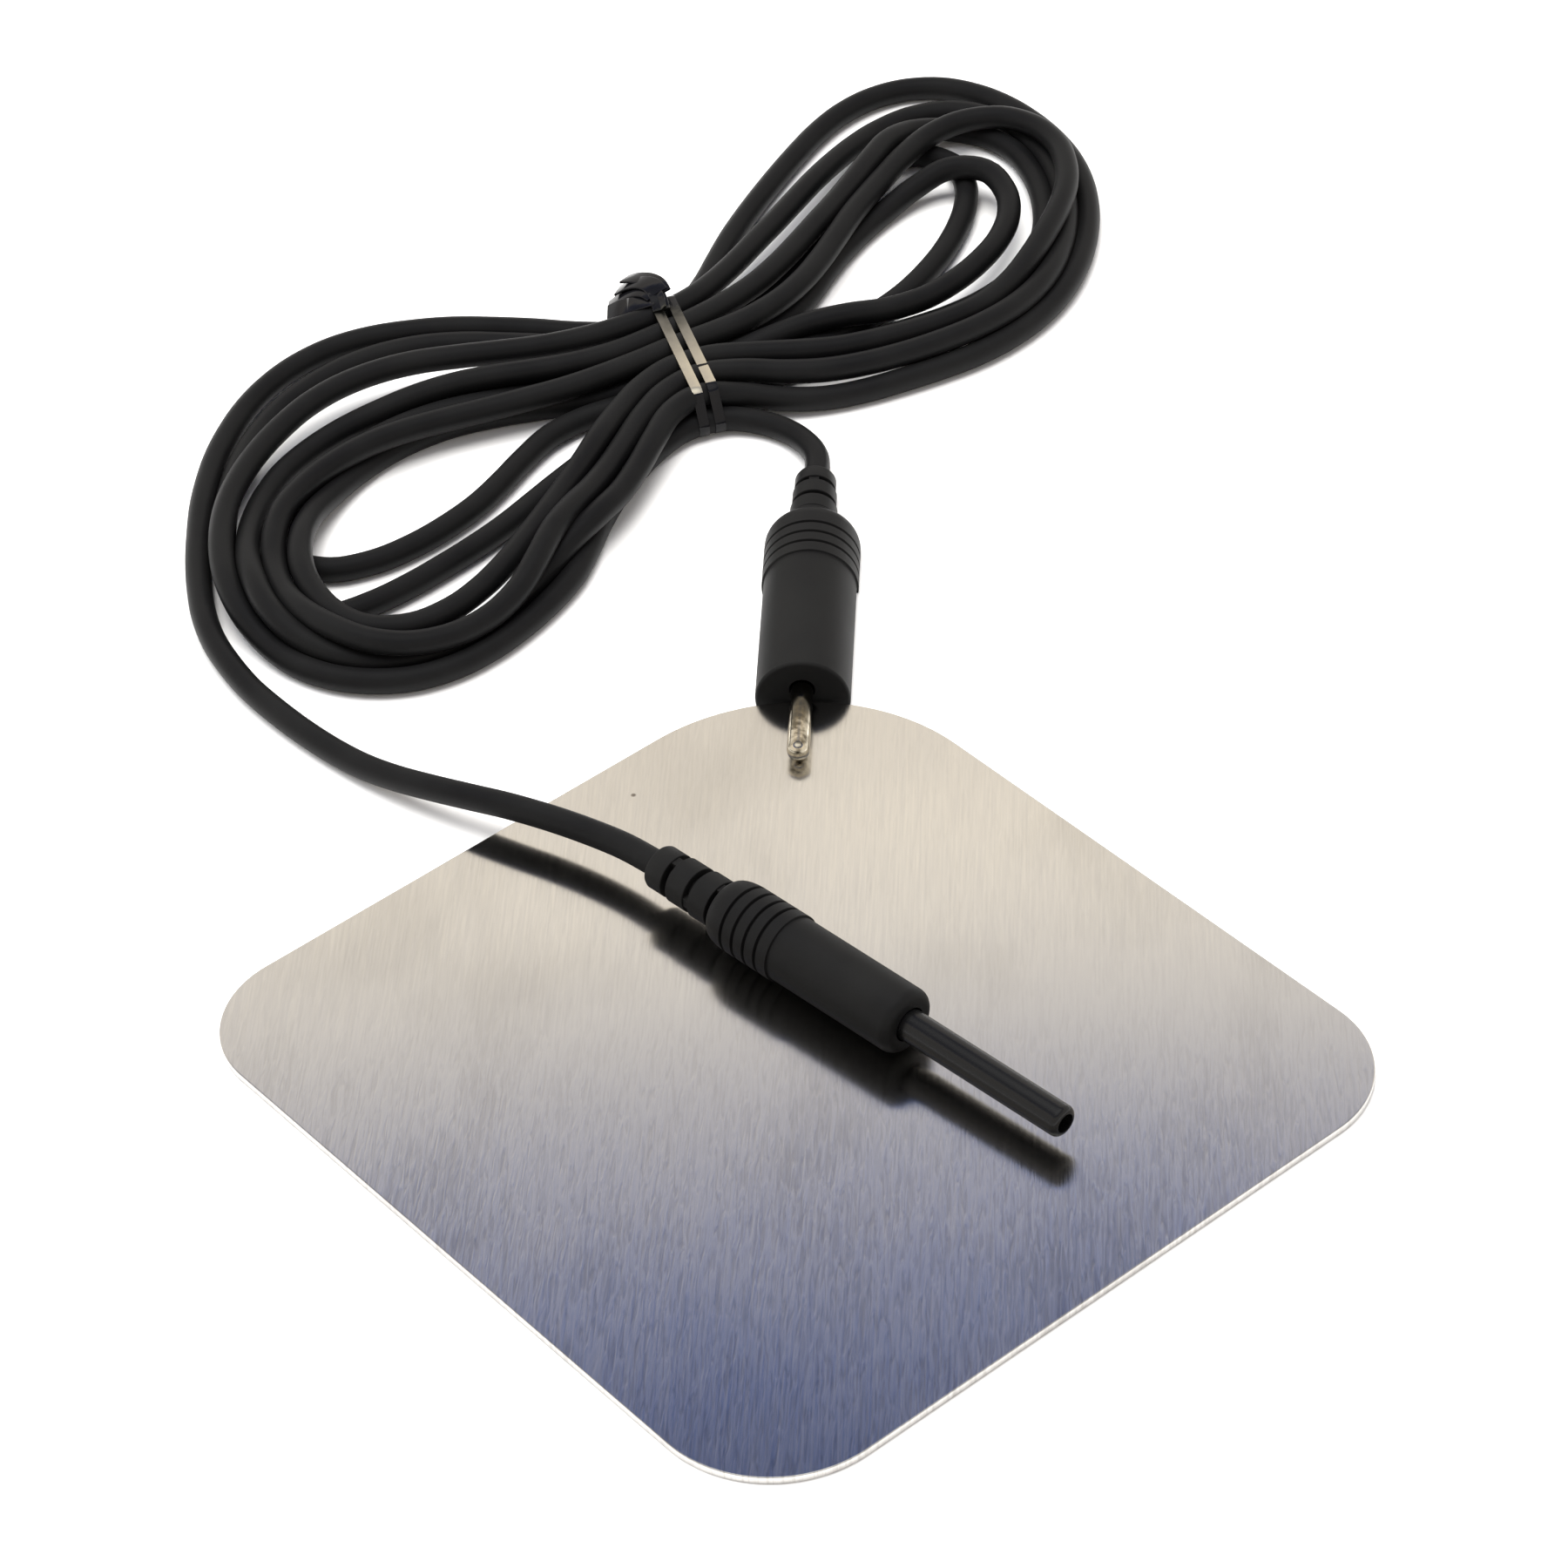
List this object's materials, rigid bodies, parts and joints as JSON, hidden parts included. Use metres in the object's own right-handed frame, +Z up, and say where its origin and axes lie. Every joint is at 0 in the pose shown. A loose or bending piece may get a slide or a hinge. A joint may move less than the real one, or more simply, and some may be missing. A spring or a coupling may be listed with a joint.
{
  "type": "electrosurgical return electrode",
  "caption": "Flat stainless patient plate with rounded corners, and its black connecting lead wound into a tied hank, with a pin plug at one end and a sleeved plug at the other.",
  "frame": {"origin": "centre of the plate's underside, on the surface that the plate lies on", "axes": "+Z up out of the plate's contact face, +X along the plate's longer side, away from the hank of lead, +Y along its shorter side"},
  "size_m": [0.286, 0.2829, 0.0143],
  "materials": {
    "plate_steel": "brushed satin",
    "plug_moulding": "satin",
    "sleeve_black": "semi-gloss",
    "cord_jacket": "satin",
    "contact_nickel": "nickel plated",
    "conductor_copper": "bare copper strands, drawn as one rod",
    "tie_plastic": "glossy"
  },
  "bodies": {
    "root": {"return_plate": "plate_steel", "pin_plug_body": "plug_moulding", "pin_plug_contact": "contact_nickel", "pin_plug_conductor": "conductor_copper", "pin_plug_jacket_end": "cord_jacket", "sleeve_plug_body": "plug_moulding", "sleeve_plug_sleeve": "sleeve_black", "sleeve_plug_contact": "contact_nickel", "sleeve_plug_conductor": "conductor_copper", "sleeve_plug_jacket_end": "cord_jacket", "lead_to_sleeve_plug": "cord_jacket", "lead_to_pin_plug": "cord_jacket", "cord_hank": "cord_jacket", "cord_tie": "tie_plastic"}
  },
  "joints": []
}
